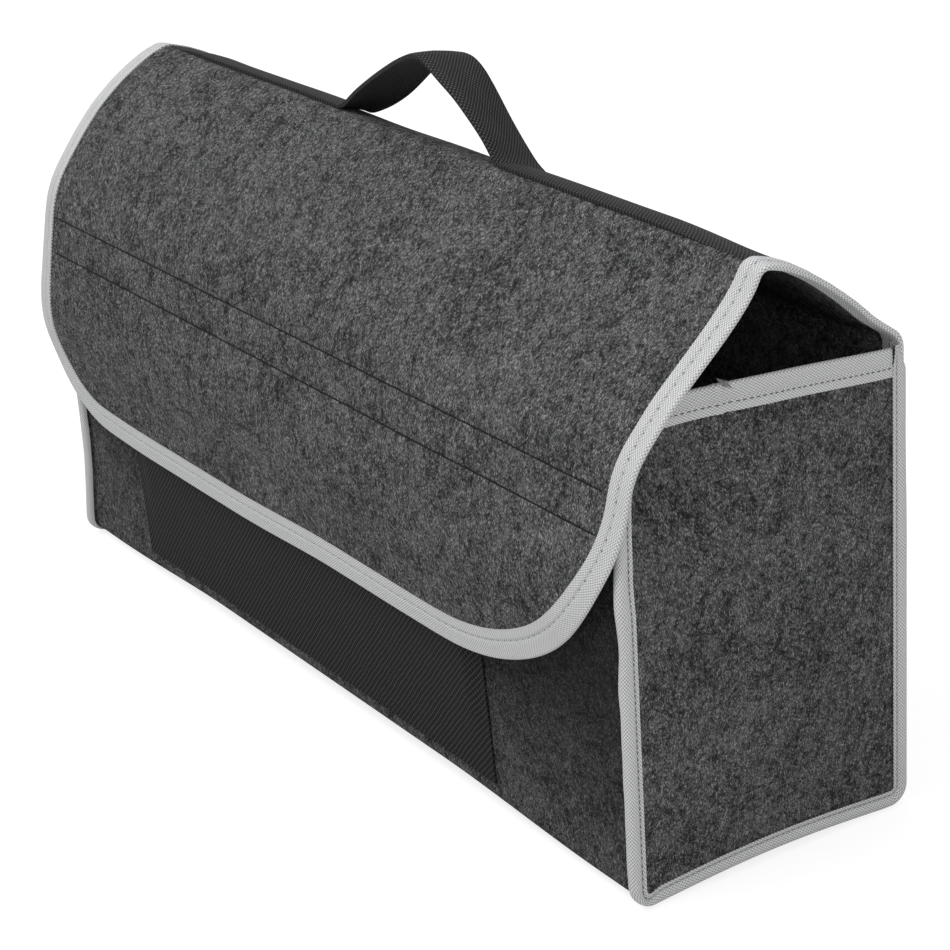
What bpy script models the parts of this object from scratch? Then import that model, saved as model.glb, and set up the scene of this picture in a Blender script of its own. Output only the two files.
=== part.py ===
"""Felt storage bag for a car boot: an open felt box with a wrap-over lid.

The front, base and back are one folded felt sheet. Two flat side panels are sewn to it with
seams that stand outwards and are bound with grosgrain tape. The back runs on into a lid: a rear
slope, a ridge and a front flap with rounded corners, bound all round. One webbing strip lies
along the ridge and rises in the middle as the handle. A net pocket is sewn on the front.
+X is the bag's right-hand side seen from the front, -Y is the front, +Z is up, and the origin
is on the ground under the middle of the bag.
"""
import math

import bmesh
import bpy
import numpy as np
from mathutils import Vector

# Overall sizes of the felt body
WIDTH = 0.500
DEPTH = 0.1388
BACK_HEIGHT = 0.2050
SIDE_REAR_DROP = 0.0025
BASE_FRONT_RADIUS = 0.006
BASE_REAR_RADIUS = 0.0035

# Materials' thicknesses
FELT = 0.0026
TAPE = 0.0009
WEBBING = 0.0018
NET = 0.0008
HOOK_TAPE = 0.0015

# Clearances
GAP = 0.0003
LID_CLEARANCE = 0.0010
TOP_TAPE_REAR_CLEARANCE = 0.0020

# Seams that stand out from the box, and the visible widths of the tapes that bind it
SEAM = 0.0030
SEAM_BEND = 0.0025
SEAM_TAPE_FACE = 0.0075
TOP_TAPE_FACE = 0.012
LID_TAPE_FACE = 0.0138
LID_TAPE_INNER_FACE = 0.0125
TAPE_CORNER = 0.001
TAPE_CROWN = 0.0004

# The lid's side profile at the middle of its felt: heights are above the base felt's underside
HINGE_RISE = 0.0035
HINGE_RADIUS = 0.008
REAR_SLOPE_Y = 0.0365
REAR_SLOPE_HEIGHT = 0.2434
REAR_SLOPE_RADIUS = 0.125
RIDGE_Y = 0.0005
RIDGE_HEIGHT = 0.2552
RIDGE_RADIUS = 0.006
SHOULDER_Y = -0.0635
SHOULDER_HEIGHT = 0.1875
SHOULDER_RADIUS = 0.045
BELLY_Y = -0.0805
BELLY_HEIGHT = 0.1295
BELLY_RADIUS = 0.080
HEM_Y = -0.0772
HEM_HEIGHT = 0.0770
LEFT_FULLNESS = 0.0104
FULLNESS_END_HEIGHT = 0.1035
FLAP_CORNER_LEFT_WIDTH = 0.055
FLAP_CORNER_LEFT_HEIGHT = 0.050
FLAP_CORNER_RIGHT_WIDTH = 0.130
FLAP_CORNER_RIGHT_HEIGHT = 0.095

# The front wall's upper part, which the flap presses inwards
FRONT_TOP_LENGTH = 0.028
FRONT_SHOULDER_RADIUS = 0.030
FRONT_BEND_RADIUS = 0.060

# Webbing strip and handle
WEBBING_WIDTH = 0.025
RIDGE_LAP = 0.0055
HANDLE_LEFT_X = -0.063
HANDLE_RIGHT_X = 0.062
HANDLE_RISE = 0.0420
HANDLE_TOP_RADIUS = 0.026
HANDLE_FOOT_RADIUS = 0.006

# Net pocket on the front
POCKET_LEFT_X = -0.176
POCKET_RIGHT_X = 0.148
POCKET_BOTTOM = 0.0105
POCKET_TOP = 0.1295
POCKET_KNEE = 0.0865
POCKET_FULL = 0.0985
POCKET_KNEE_DEPTH = 0.0034
POCKET_DEPTH = 0.0045
POCKET_MARGIN = 0.004
POCKET_RAMP = 0.006
POCKET_HEM_HEIGHT = 0.012
POCKET_HEM = 0.0009

# Hook tapes
LID_HOOK_TOP = 0.1745
LID_HOOK_BOTTOM = 0.1605
LID_HOOK_END_CLEARANCE = 0.0067
BASE_HOOK_LENGTH = 0.400
BASE_HOOK_WIDTH = 0.025
BASE_HOOK_SPACING = 0.080

# How the left end's fullness runs down the front slope: (share of the run, share of the fullness)
FULLNESS_SHAPE = ((0.0, 0.0), (0.035, 0.16), (0.20, 0.91), (0.335, 1.0), (0.45, 0.93),
                  (0.55, 0.63), (0.67, 0.50), (0.83, 0.22), (1.0, 0.0))

# Fineness of the curves
ARC_STEP = math.radians(9)
LONGEST_STEP = 0.016
CORNER_STEPS = 10

# Sizes that follow from the ones above
TAPE_REACH = GAP + TAPE
WRAP_RADIUS = FELT / 2 + GAP + TAPE / 2
EDGE_REACH = FELT / 2 + GAP + TAPE
BASE_Z = SEAM + TAPE_REACH + TAPE_CROWN
PANEL_OUTER_X = WIDTH / 2
FLANGE_X = WIDTH / 2 - FELT - GAP - FELT / 2
TAPE_OUTER_X = PANEL_OUTER_X + TAPE_REACH
LID_HALF_WIDTH = TAPE_OUTER_X - EDGE_REACH
SEAM_TIP = FELT / 2 + SEAM
BACK_MID_Y = DEPTH / 2 - FELT / 2
FRONT_MID_Y = -BACK_MID_Y
HINGE_Z = BASE_Z + BACK_HEIGHT

COLLECTION = "felt_storage_bag"


class SheetPath:
    """A polyline with rounded corners in the YZ plane, read by length along it and distance off it."""

    def __init__(self, corners):
        places = [np.array(corner[:2]) for corner in corners]
        radii = fitting_radii(places, [corner[2] for corner in corners[1:-1]])
        points = [places[0]]
        arcs = []
        for before, corner, after, radius in zip(places, places[1:], places[2:], radii):
            arc = fillet(before, corner, after, radius)
            arcs.append((len(points), len(points) + len(arc) - 1))
            points.extend(arc)
        points.append(places[-1])
        self.points = np.array(points)
        steps = np.linalg.norm(np.diff(self.points, axis=0), axis=1)
        self.lengths = np.concatenate([[0.0], np.cumsum(steps)])
        self.arcs = [(self.lengths[first], self.lengths[last]) for first, last in arcs]
        runs = np.diff(self.points, axis=0) / steps[:, None]
        turned = np.column_stack([runs[:, 1], -runs[:, 0]])
        normals = np.vstack([turned[:1], turned[:-1] + turned[1:], turned[-1:]])
        self.normals = normals / np.linalg.norm(normals, axis=1)[:, None]

    @property
    def length(self):
        return self.lengths[-1]

    def at(self, along, off=0.0):
        """The point (y, z) at a length along the path, moved off it; past an end the path runs straight on."""
        place = [np.interp(along, self.lengths, self.points[:, axis]) for axis in (0, 1)]
        normal = self.normal(along)
        beyond = along - np.clip(along, 0.0, self.length)
        return place + normal * off + np.array([-normal[1], normal[0]]) * beyond

    def normal(self, along):
        normal = np.array([np.interp(along, self.lengths, self.normals[:, axis]) for axis in (0, 1)])
        return normal / np.linalg.norm(normal)

    def at_height(self, height, after):
        """The length along the path, beyond after, at which it comes down to a height."""
        for first, second, start, end in zip(self.points, self.points[1:], self.lengths, self.lengths[1:]):
            if end > after and first[1] >= height > second[1]:
                return start + (end - start) * (first[1] - height) / (first[1] - second[1])
        return self.length

    def stations(self, start, end, extra=()):
        """Lengths from start to end that catch every corner, with no long run left undivided."""
        marks = [start, end]
        marks += [mark for mark in [*self.lengths, *extra] if start < mark < end]
        marks = sorted(marks)
        kept = [marks[0]]
        for mark in marks[1:]:
            if mark - kept[-1] < GAP:
                continue
            pieces = max(1, math.ceil((mark - kept[-1]) / LONGEST_STEP))
            kept += list(np.linspace(kept[-1], mark, pieces + 1)[1:])
        kept[-1] = end
        return kept


def corner_shape(before, corner, after):
    """The directions from a corner back and ahead, and half the angle between them."""
    back = (before - corner) / np.linalg.norm(before - corner)
    ahead = (after - corner) / np.linalg.norm(after - corner)
    return back, ahead, math.acos(np.clip(back @ ahead, -1, 1)) / 2


def fitting_radii(places, radii):
    """The corners' radii, made smaller where two roundings would not fit on the run between them."""
    slopes = [math.tan(corner_shape(*trio)[2]) for trio in zip(places, places[1:], places[2:])]
    reaches = [0.0, *(radius / slope for radius, slope in zip(radii, slopes)), 0.0]
    shares = [min(1.0, (np.linalg.norm(second - first) - GAP) / (reach + following))
              for first, second, reach, following in zip(places, places[1:], reaches, reaches[1:])]
    return [radius * min(pair) for radius, pair in zip(radii, zip(shares, shares[1:]))]


def fillet(before, corner, after, radius):
    """Points of the arc that rounds a corner."""
    back, ahead, half = corner_shape(before, corner, after)
    centre = corner + (back + ahead) / np.linalg.norm(back + ahead) * radius / math.sin(half)
    start = corner + back * radius / math.tan(half) - centre
    turn = math.copysign(math.pi - 2 * half, ahead[1] * -back[0] - ahead[0] * -back[1])
    count = max(2, math.ceil(abs(turn) / ARC_STEP))
    angles = np.linspace(0, turn, count + 1)
    return [centre + [start[0] * math.cos(a) - start[1] * math.sin(a),
                      start[0] * math.sin(a) + start[1] * math.cos(a)] for a in angles]


def inner_corner(before, corner, after, distance):
    """The corner of two lines that both move inwards, to the right of the way they run."""
    first = (corner - before) / np.linalg.norm(corner - before)
    second = (after - corner) / np.linalg.norm(after - corner)
    inward = np.array([-first[1] - second[1], first[0] + second[0]])
    inward /= np.linalg.norm(inward)
    return corner + inward * distance / (inward @ np.array([-first[1], first[0]]))


def make_lid_path():
    """The lid's profile, from the hinge over the ridge to the flap's hem."""
    return SheetPath([
        (BACK_MID_Y, HINGE_Z + GAP / 2),
        (BACK_MID_Y, HINGE_Z + HINGE_RISE, HINGE_RADIUS),
        (REAR_SLOPE_Y, BASE_Z + REAR_SLOPE_HEIGHT, REAR_SLOPE_RADIUS),
        (RIDGE_Y, BASE_Z + RIDGE_HEIGHT, RIDGE_RADIUS),
        (SHOULDER_Y, BASE_Z + SHOULDER_HEIGHT, SHOULDER_RADIUS),
        (BELLY_Y, BASE_Z + BELLY_HEIGHT, BELLY_RADIUS),
        (HEM_Y, BASE_Z + HEM_HEIGHT),
    ])


def make_wall_path():
    """The box's profile: down the front wall, which follows the flap, along the base and up the back."""
    ridge = np.array([RIDGE_Y, BASE_Z + RIDGE_HEIGHT])
    shoulder = np.array([SHOULDER_Y, BASE_Z + SHOULDER_HEIGHT])
    belly = np.array([BELLY_Y, BASE_Z + BELLY_HEIGHT])
    inset = EDGE_REACH + LID_CLEARANCE + TAPE_REACH + TAPE_CROWN + SEAM_TIP
    wall_shoulder = inner_corner(ridge, shoulder, belly, inset)
    upward = (ridge - shoulder) / np.linalg.norm(ridge - shoulder)
    downward = (belly - shoulder) / np.linalg.norm(belly - shoulder)
    top = wall_shoulder + upward * FRONT_TOP_LENGTH
    bend = wall_shoulder + downward * (FRONT_MID_Y - wall_shoulder[0]) / downward[0]
    base = BASE_Z + FELT / 2
    return SheetPath([
        tuple(top),
        (*wall_shoulder, FRONT_SHOULDER_RADIUS),
        (*bend, FRONT_BEND_RADIUS),
        (FRONT_MID_Y, base, BASE_FRONT_RADIUS),
        (BACK_MID_Y, base, BASE_REAR_RADIUS),
        (BACK_MID_Y, HINGE_Z - GAP / 2),
    ])


LID_PATH = make_lid_path()
WALL_PATH = make_wall_path()


def fullness(x, along):
    """How far the lid bulges at a place: the front slope is fuller towards the left end."""
    start = LID_PATH.arcs[2][1]
    end = LID_PATH.at_height(BASE_Z + FULLNESS_END_HEIGHT, start)
    swell = np.interp((along - start) / (end - start), *zip(*FULLNESS_SHAPE))
    return LEFT_FULLNESS * swell * (0.5 - x / WIDTH)


def on_lid(x, along, off=0.0):
    y, z = LID_PATH.at(along, off + fullness(x, along))
    return Vector((x, y, z))


def on_wall(x, along, off=0.0):
    y, z = WALL_PATH.at(along, off)
    return Vector((x, y, z))


def centring_shift():
    """How far the bag moves back so that its bounding box is centred on the origin."""
    stations = LID_PATH.stations(0.0, LID_PATH.length)
    flap_front = min(on_lid(-LID_HALF_WIDTH, along, EDGE_REACH).y for along in stations)
    rear = DEPTH / 2 + BASE_Z
    return -(flap_front + rear) / 2


SHIFT_Y = centring_shift()


def new_material(name, colour, roughness):
    material = bpy.data.materials.new(name)
    material.use_nodes = True
    shader = material.node_tree.nodes["Principled BSDF"]
    shader.inputs["Base Color"].default_value = (*colour, 1.0)
    shader.inputs["Roughness"].default_value = roughness
    shader.inputs["Metallic"].default_value = 0.0
    return material


def finish_object(obj, material):
    obj.location.y += SHIFT_Y
    obj.data.materials.append(material)
    bpy.data.collections[COLLECTION].objects.link(obj)
    return obj


def sheet(name, rows, thickness, material):
    """A sheet of even thickness whose middle surface runs through rows of points."""
    form = bmesh.new()
    grid = [[form.verts.new(point) for point in row] for row in rows]
    for row, following in zip(grid, grid[1:]):
        for first, second, third, fourth in zip(row, row[1:], following[1:], following):
            form.faces.new((first, second, third, fourth))
    mesh = bpy.data.meshes.new(name)
    form.to_mesh(mesh)
    form.free()
    mesh.shade_smooth()
    mesh.set_sharp_from_angle(angle=math.radians(35))
    obj = bpy.data.objects.new(name, mesh)
    solidify = obj.modifiers.new("thickness", "SOLIDIFY")
    solidify.thickness = thickness
    solidify.offset = 0.0
    solidify.use_even_offset = True
    return finish_object(obj, material)


def flat_panel(name, outline, x, thickness, material):
    """A flat plate that stands in the YZ plane."""
    curve = bpy.data.curves.new(name, "CURVE")
    curve.dimensions = "2D"
    curve.fill_mode = "BOTH"
    curve.extrude = thickness / 2
    spline = curve.splines.new("POLY")
    spline.points.add(len(outline) - 1)
    for point, (y, z) in zip(spline.points, outline):
        point.co = (y, z, 0.0, 1.0)
    spline.use_cyclic_u = True
    obj = bpy.data.objects.new(name, curve)
    obj.location.x = x
    obj.rotation_euler = (math.pi / 2, 0.0, math.pi / 2)
    return finish_object(obj, material)


def block(name, size, centre, material):
    form = bmesh.new()
    bmesh.ops.create_cube(form, size=1.0)
    bmesh.ops.scale(form, vec=size, verts=form.verts)
    mesh = bpy.data.meshes.new(name)
    form.to_mesh(mesh)
    form.free()
    obj = bpy.data.objects.new(name, mesh)
    obj.location = centre
    return finish_object(obj, material)


def make_body_felt(felt):
    """Front, base and back in one folded sheet, with a seam allowance turned out at each end."""
    corner = SEAM_BEND * (1 - math.sqrt(0.5))
    end = [(FLANGE_X, SEAM_TIP), (FLANGE_X, SEAM_BEND), (FLANGE_X - corner, corner), (FLANGE_X - SEAM_BEND, 0.0)]
    section = [(-x, off) for x, off in end] + end[::-1]
    rows = [[on_wall(x, along, off) for x, off in section]
            for along in WALL_PATH.stations(0.0, WALL_PATH.length)]
    return sheet("body_felt", rows, FELT, felt)


def side_outline():
    """A side panel's outline: the box's profile with the seam allowance, closed by the top edge."""
    end = WALL_PATH.length - SIDE_REAR_DROP
    return [tuple(WALL_PATH.at(along, SEAM_TIP)) for along in WALL_PATH.stations(0.0, end)]


def make_side_panel(name, side, felt):
    return flat_panel(name, side_outline(), side * (PANEL_OUTER_X - FELT / 2), FELT, felt)


def make_side_binding(name, side, tape):
    """Tape folded over the two layers of a side seam, down the front, along the base and up the back."""
    outer = PANEL_OUTER_X + GAP + TAPE / 2
    inner = FLANGE_X - FELT / 2 - GAP - TAPE / 2
    top = SEAM_TIP + GAP + TAPE / 2
    cut = TAPE_CORNER * (1 - math.sqrt(0.5))
    outer_leg = SEAM_TIP + TAPE_REACH - SEAM_TAPE_FACE
    inner_leg = SEAM_BEND + GAP
    section = [
        (outer, outer_leg), (outer, top - TAPE_CORNER), (outer - cut, top - cut), (outer - TAPE_CORNER, top),
        ((outer + inner) / 2, top + TAPE_CROWN),
        (inner + TAPE_CORNER, top), (inner + cut, top - cut), (inner, top - TAPE_CORNER), (inner, inner_leg),
    ]
    end = WALL_PATH.length - SIDE_REAR_DROP
    rows = [[on_wall(side * x, along, off) for x, off in section] for along in WALL_PATH.stations(0.0, end)]
    return sheet(name, rows, TAPE, tape)


def edge_wrap(outer_leg, inner_leg):
    """Section of a tape folded over one felt edge, as (distance in from the edge, distance off the felt)."""
    turns = [math.radians(angle) for angle in (90, 54, 18, -18, -54, -90)]
    bend = [(-WRAP_RADIUS * math.cos(turn), WRAP_RADIUS * math.sin(turn)) for turn in turns]
    return [(outer_leg, WRAP_RADIUS)] + bend + [(inner_leg, -WRAP_RADIUS)]


def make_side_top_binding(name, side, tape):
    """Tape over a side panel's top edge, between the legs of the seam tape."""
    outline = side_outline()
    front = np.array(outline[0])
    rear = np.array(outline[-1])
    along = (rear - front) / np.linalg.norm(rear - front)
    inward = np.array([along[1], -along[0]])
    leg = TOP_TAPE_FACE - EDGE_REACH
    front_limit = WALL_PATH.at(0.0, SEAM_TIP + TAPE_REACH - SEAM_TAPE_FACE - GAP)
    first = (front_limit - front) @ along + GAP
    last = np.linalg.norm(rear - front) - (SEAM_TAPE_FACE - TAPE_REACH + TOP_TAPE_REAR_CLEARANCE)
    middle_x = side * (PANEL_OUTER_X - FELT / 2)
    rows = []
    for distance in np.linspace(first, last, 9):
        row = []
        for depth, off in edge_wrap(leg, leg):
            y, z = front + along * distance + inward * depth
            row.append(Vector((middle_x + side * off, y, z)))
        rows.append(row)
    return sheet(name, rows, TAPE, tape)


def make_front_top_binding(tape):
    """Tape over the front wall's top edge, between the seam allowances."""
    half = FLANGE_X - SEAM_BEND - FELT / 2 - TAPE_REACH
    leg = TOP_TAPE_FACE - EDGE_REACH
    rows = [[on_wall(x, depth, off) for depth, off in edge_wrap(leg, leg)]
            for x in np.linspace(-half, half, 5)]
    return sheet("front_top_binding", rows, TAPE, tape)


def pocket_stand_off(height):
    """How far the net's inner face stands off the front at a height above the base's underside."""
    heights = (POCKET_BOTTOM, POCKET_BOTTOM + POCKET_MARGIN, POCKET_KNEE, POCKET_FULL, POCKET_TOP)
    depths = (GAP, GAP, POCKET_KNEE_DEPTH, POCKET_DEPTH, POCKET_DEPTH)
    return np.interp(height, heights, depths)


def make_mesh_pocket(net):
    """Net sewn to the front along its sides and its bottom, standing off it towards the open top."""
    columns = (POCKET_LEFT_X, POCKET_LEFT_X + POCKET_MARGIN, POCKET_LEFT_X + POCKET_MARGIN + POCKET_RAMP,
               POCKET_RIGHT_X - POCKET_MARGIN - POCKET_RAMP, POCKET_RIGHT_X - POCKET_MARGIN, POCKET_RIGHT_X)
    heights = (POCKET_BOTTOM, POCKET_BOTTOM + POCKET_MARGIN, (POCKET_BOTTOM + POCKET_KNEE) / 2,
               POCKET_KNEE, POCKET_FULL, POCKET_TOP)
    rows = []
    for height in heights:
        depth = pocket_stand_off(height)
        row = []
        for number, x in enumerate(columns):
            stand_off = depth if number in (2, 3) else GAP
            row.append(Vector((x, -DEPTH / 2 - stand_off - NET / 2, BASE_Z + height)))
        rows.append(row)
    return sheet("mesh_pocket", rows, NET, net)


def make_pocket_hem(tape):
    """Flat elastic along the outside of the pocket's open top."""
    y = -DEPTH / 2 - POCKET_DEPTH - NET - GAP - POCKET_HEM / 2
    left = POCKET_LEFT_X + POCKET_MARGIN + POCKET_RAMP
    right = POCKET_RIGHT_X - POCKET_MARGIN - POCKET_RAMP
    centre = ((left + right) / 2, y, BASE_Z + POCKET_TOP - POCKET_HEM_HEIGHT / 2)
    return block("pocket_hem", (right - left, POCKET_HEM, POCKET_HEM_HEIGHT), centre, tape)


def make_base_hook_strip(name, side, hook):
    """Hook tape under the base that grips the boot's carpet."""
    centre = (0.0, side * BASE_HOOK_SPACING / 2, BASE_Z - GAP - HOOK_TAPE / 2)
    return block(name, (BASE_HOOK_LENGTH, BASE_HOOK_WIDTH, HOOK_TAPE), centre, hook)


def flap_side(along, width, height):
    """Half the lid's width at a length along it, and the way its edge faces, with an elliptic flap corner."""
    past = max(0.0, along - (LID_PATH.length - height))
    angle = math.asin(min(1.0, past / height))
    out_x, out_along = math.cos(angle) / width, math.sin(angle) / height
    size = math.hypot(out_x, out_along)
    return LID_HALF_WIDTH - width * (1 - math.cos(angle)), out_x / size, out_along / size


def lid_rows():
    """The lid's flat outline as rows: length along the profile, then the left and the right side."""
    end = LID_PATH.length
    angles = np.linspace(0, math.pi / 2, CORNER_STEPS + 1)[:-1]
    extra = [end - height + height * math.sin(angle)
             for height in (FLAP_CORNER_LEFT_HEIGHT, FLAP_CORNER_RIGHT_HEIGHT) for angle in angles]
    return [(along, flap_side(along, FLAP_CORNER_LEFT_WIDTH, FLAP_CORNER_LEFT_HEIGHT),
             flap_side(along, FLAP_CORNER_RIGHT_WIDTH, FLAP_CORNER_RIGHT_HEIGHT))
            for along in LID_PATH.stations(0.0, end, extra)]


def make_lid_felt(felt):
    rows = [[on_lid(x, along) for x in np.linspace(-left[0], right[0], 6)] for along, left, right in lid_rows()]
    return sheet("lid_felt", rows, FELT, felt)


def lid_edge():
    """The lid's bound edge as (x, length along, outward x, outward along), from hinge to hinge."""
    rows = lid_rows()
    left = [(-half, along, -out_x, out_along) for along, (half, out_x, out_along), _ in rows]
    right = [(half, along, out_x, out_along) for along, _, (half, out_x, out_along) in rows]
    hem = [(x, LID_PATH.length, 0.0, 1.0) for x in np.linspace(left[-1][0], right[-1][0], 6)[1:-1]]
    return left + hem + right[::-1]


def make_lid_binding(tape):
    """Tape folded over the lid's edge, up one side, round the flap's corners and back to the hinge."""
    section = edge_wrap(LID_TAPE_FACE - EDGE_REACH, LID_TAPE_INNER_FACE - EDGE_REACH)
    rows = [[on_lid(x - out_x * depth, along - out_along * depth, off) for depth, off in section]
            for x, along, out_x, out_along in lid_edge()]
    return sheet("lid_binding", rows, TAPE, tape)


def handle_shape():
    """The webbing's run as (x, rise): flat to each end, with the handle's arch in the middle."""
    end = LID_HALF_WIDTH - (LID_TAPE_FACE - EDGE_REACH) - GAP
    run = SheetPath([
        (-end, 0.0),
        (HANDLE_LEFT_X, 0.0, HANDLE_FOOT_RADIUS),
        ((HANDLE_LEFT_X + HANDLE_RIGHT_X) / 2, HANDLE_RISE, HANDLE_TOP_RADIUS),
        (HANDLE_RIGHT_X, 0.0, HANDLE_FOOT_RADIUS),
        (end, 0.0),
    ])
    return [run.at(along) for along in run.stations(0.0, run.length)]


def make_ridge_webbing(webbing):
    """One strip folded over the ridge, free in the middle where it rises as the handle."""
    off = FELT / 2 + GAP + WEBBING / 2
    front = LID_PATH.arcs[2][0] + RIDGE_LAP
    stretch = off * RIDGE_LAP / RIDGE_RADIUS
    across = LID_PATH.stations(front - (WEBBING_WIDTH - stretch), front)
    rows = [[on_lid(x, along, off) + Vector((0.0, 0.0, rise)) for along in across] for x, rise in handle_shape()]
    return sheet("ridge_webbing", rows, WEBBING, webbing)


def make_lid_hook_strip(hook):
    """Hook tape inside the flap, which grips the front wall's felt."""
    top = LID_PATH.at_height(BASE_Z + LID_HOOK_TOP, LID_PATH.arcs[2][1])
    bottom = LID_PATH.at_height(BASE_Z + LID_HOOK_BOTTOM, LID_PATH.arcs[2][1])
    off = -FELT / 2 - GAP - HOOK_TAPE / 2
    half = LID_HALF_WIDTH - (LID_TAPE_INNER_FACE - EDGE_REACH) - LID_HOOK_END_CLEARANCE
    rows = [[on_lid(x, along, off) for x in np.linspace(-half, half, 6)]
            for along in LID_PATH.stations(top, bottom)]
    return sheet("lid_hook_strip", rows, HOOK_TAPE, hook)


def main():
    for obj in list(bpy.data.objects):
        bpy.data.objects.remove(obj, do_unlink=True)
    bpy.context.scene.collection.children.link(bpy.data.collections.new(COLLECTION))

    felt = new_material("charcoal_felt", (0.055, 0.057, 0.060), 0.95)
    tape = new_material("grey_grosgrain_tape", (0.47, 0.48, 0.48), 0.85)
    webbing = new_material("black_webbing", (0.012, 0.012, 0.013), 0.70)
    net = new_material("black_net", (0.010, 0.010, 0.011), 0.75)
    hook = new_material("black_hook_tape", (0.015, 0.015, 0.016), 0.60)

    make_body_felt(felt)
    for side, name in ((-1, "left"), (1, "right")):
        make_side_panel(f"side_panel_{name}", side, felt)
        make_side_binding(f"side_binding_{name}", side, tape)
        make_side_top_binding(f"side_top_binding_{name}", side, tape)
    make_front_top_binding(tape)
    make_mesh_pocket(net)
    make_pocket_hem(hook)
    make_base_hook_strip("base_hook_strip_front", -1, hook)
    make_base_hook_strip("base_hook_strip_rear", 1, hook)

    make_lid_felt(felt)
    make_lid_binding(tape)
    make_ridge_webbing(webbing)
    make_lid_hook_strip(hook)


main()
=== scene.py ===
"""Looks of the felt storage bag: heathered felt, woven tape, webbing, net and stitching.

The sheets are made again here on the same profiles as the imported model, finer and softer, and
each replaces its node. Lengths are in metres. +X is the bag's right-hand side, -Y its front.
"along" is a length on a profile, from the hinge over the lid to its hem, or from the front
wall's top edge under the base to the hinge. "off" is a distance off a sheet's middle, outwards.
"""
import math

import bmesh
import bpy
import numpy as np
from mathutils import Matrix, Vector, noise


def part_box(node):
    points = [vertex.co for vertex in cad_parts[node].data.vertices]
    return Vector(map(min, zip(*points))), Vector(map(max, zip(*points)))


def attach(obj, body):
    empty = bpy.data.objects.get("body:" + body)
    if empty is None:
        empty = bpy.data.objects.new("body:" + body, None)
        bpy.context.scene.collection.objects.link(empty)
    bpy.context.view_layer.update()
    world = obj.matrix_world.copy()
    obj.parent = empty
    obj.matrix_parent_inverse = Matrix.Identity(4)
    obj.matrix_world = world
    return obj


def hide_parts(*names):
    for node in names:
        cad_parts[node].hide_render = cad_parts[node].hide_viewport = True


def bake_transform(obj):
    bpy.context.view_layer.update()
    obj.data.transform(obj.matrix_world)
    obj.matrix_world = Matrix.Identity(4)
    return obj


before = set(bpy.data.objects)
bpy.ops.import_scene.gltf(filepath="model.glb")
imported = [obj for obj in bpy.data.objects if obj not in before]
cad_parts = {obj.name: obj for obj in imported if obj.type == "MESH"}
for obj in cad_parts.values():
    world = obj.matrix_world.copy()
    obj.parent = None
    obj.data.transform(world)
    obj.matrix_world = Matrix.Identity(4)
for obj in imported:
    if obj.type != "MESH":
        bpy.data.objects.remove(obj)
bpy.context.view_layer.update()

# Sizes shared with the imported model
WIDTH = 0.500
DEPTH = 0.1388
BACK_HEIGHT = 0.2050
SIDE_REAR_DROP = 0.0025
BASE_FRONT_RADIUS = 0.006
BASE_REAR_RADIUS = 0.0035
FELT = 0.0026
TAPE = 0.0009
WEBBING = 0.0018
NET = 0.0008
GAP = 0.0003
LID_CLEARANCE = 0.0010
SEAM = 0.0030
SEAM_BEND = 0.0025
SEAM_TAPE_FACE = 0.0075
TOP_TAPE_FACE = 0.012
LID_TAPE_FACE = 0.0138
LID_TAPE_INNER_FACE = 0.0125
TAPE_CROWN = 0.0004
HINGE_RISE = 0.0035
HINGE_RADIUS = 0.008
REAR_SLOPE = (0.0365, 0.2434)
REAR_SLOPE_RADIUS = 0.125
RIDGE = (0.0005, 0.2552)
RIDGE_RADIUS = 0.006
SHOULDER = (-0.0635, 0.1875)
SHOULDER_RADIUS = 0.045
BELLY = (-0.0805, 0.1295)
BELLY_RADIUS = 0.080
HEM = (-0.0772, 0.0770)
FLAP_CORNER_LEFT = (0.055, 0.050)
FLAP_CORNER_RIGHT = (0.130, 0.095)
FRONT_TOP_LENGTH = 0.028
FRONT_SHOULDER_RADIUS = 0.030
FRONT_BEND_RADIUS = 0.060
WEBBING_WIDTH = 0.025
POCKET_LEFT_X = -0.176
POCKET_RIGHT_X = 0.148
POCKET_BOTTOM = 0.0105
POCKET_TOP = 0.1295
POCKET_KNEE = 0.0865
POCKET_FULL = 0.0985
POCKET_KNEE_DEPTH = 0.0034
POCKET_DEPTH = 0.0045
POCKET_MARGIN = 0.004

TAPE_REACH = GAP + TAPE
EDGE_REACH = FELT / 2 + GAP + TAPE
BASE_Z = SEAM + TAPE_REACH + TAPE_CROWN
FLANGE_X = WIDTH / 2 - FELT - GAP - FELT / 2
PANEL_X = WIDTH / 2 - FELT / 2
LID_HALF_WIDTH = WIDTH / 2 + TAPE_REACH - EDGE_REACH
SEAM_TIP = FELT / 2 + SEAM
BACK_MID_Y = DEPTH / 2 - FELT / 2
HINGE_Z = BASE_Z + BACK_HEIGHT
PANEL_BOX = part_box("side_panel_right")
SHIFT_Y = (PANEL_BOX[0][1] + PANEL_BOX[1][1]) / 2

# From here on a pair is mostly a place where a form begins and one where it is full, for ramp()

# Sewing squeezes the felt's edges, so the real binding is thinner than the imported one
THIN_TAPE = 0.0007
THIN_GAP = 0.0001
PINCHED = 0.35
PINCH_REACH = 0.009
THIN_REACH = FELT / 2 * PINCHED + THIN_GAP + THIN_TAPE
EDGE_GROWTH = EDGE_REACH - THIN_REACH
RIM = np.array([0, 0.0015, 0.003, 0.005, 0.007, 0.009])
FELT_RIPPLE = 0.0007
RIPPLE_LENGTH = 0.075
LID_SEED, SIDE_SEED, SEAM_SEED = 3.0, 9.0, 5.0

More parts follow.
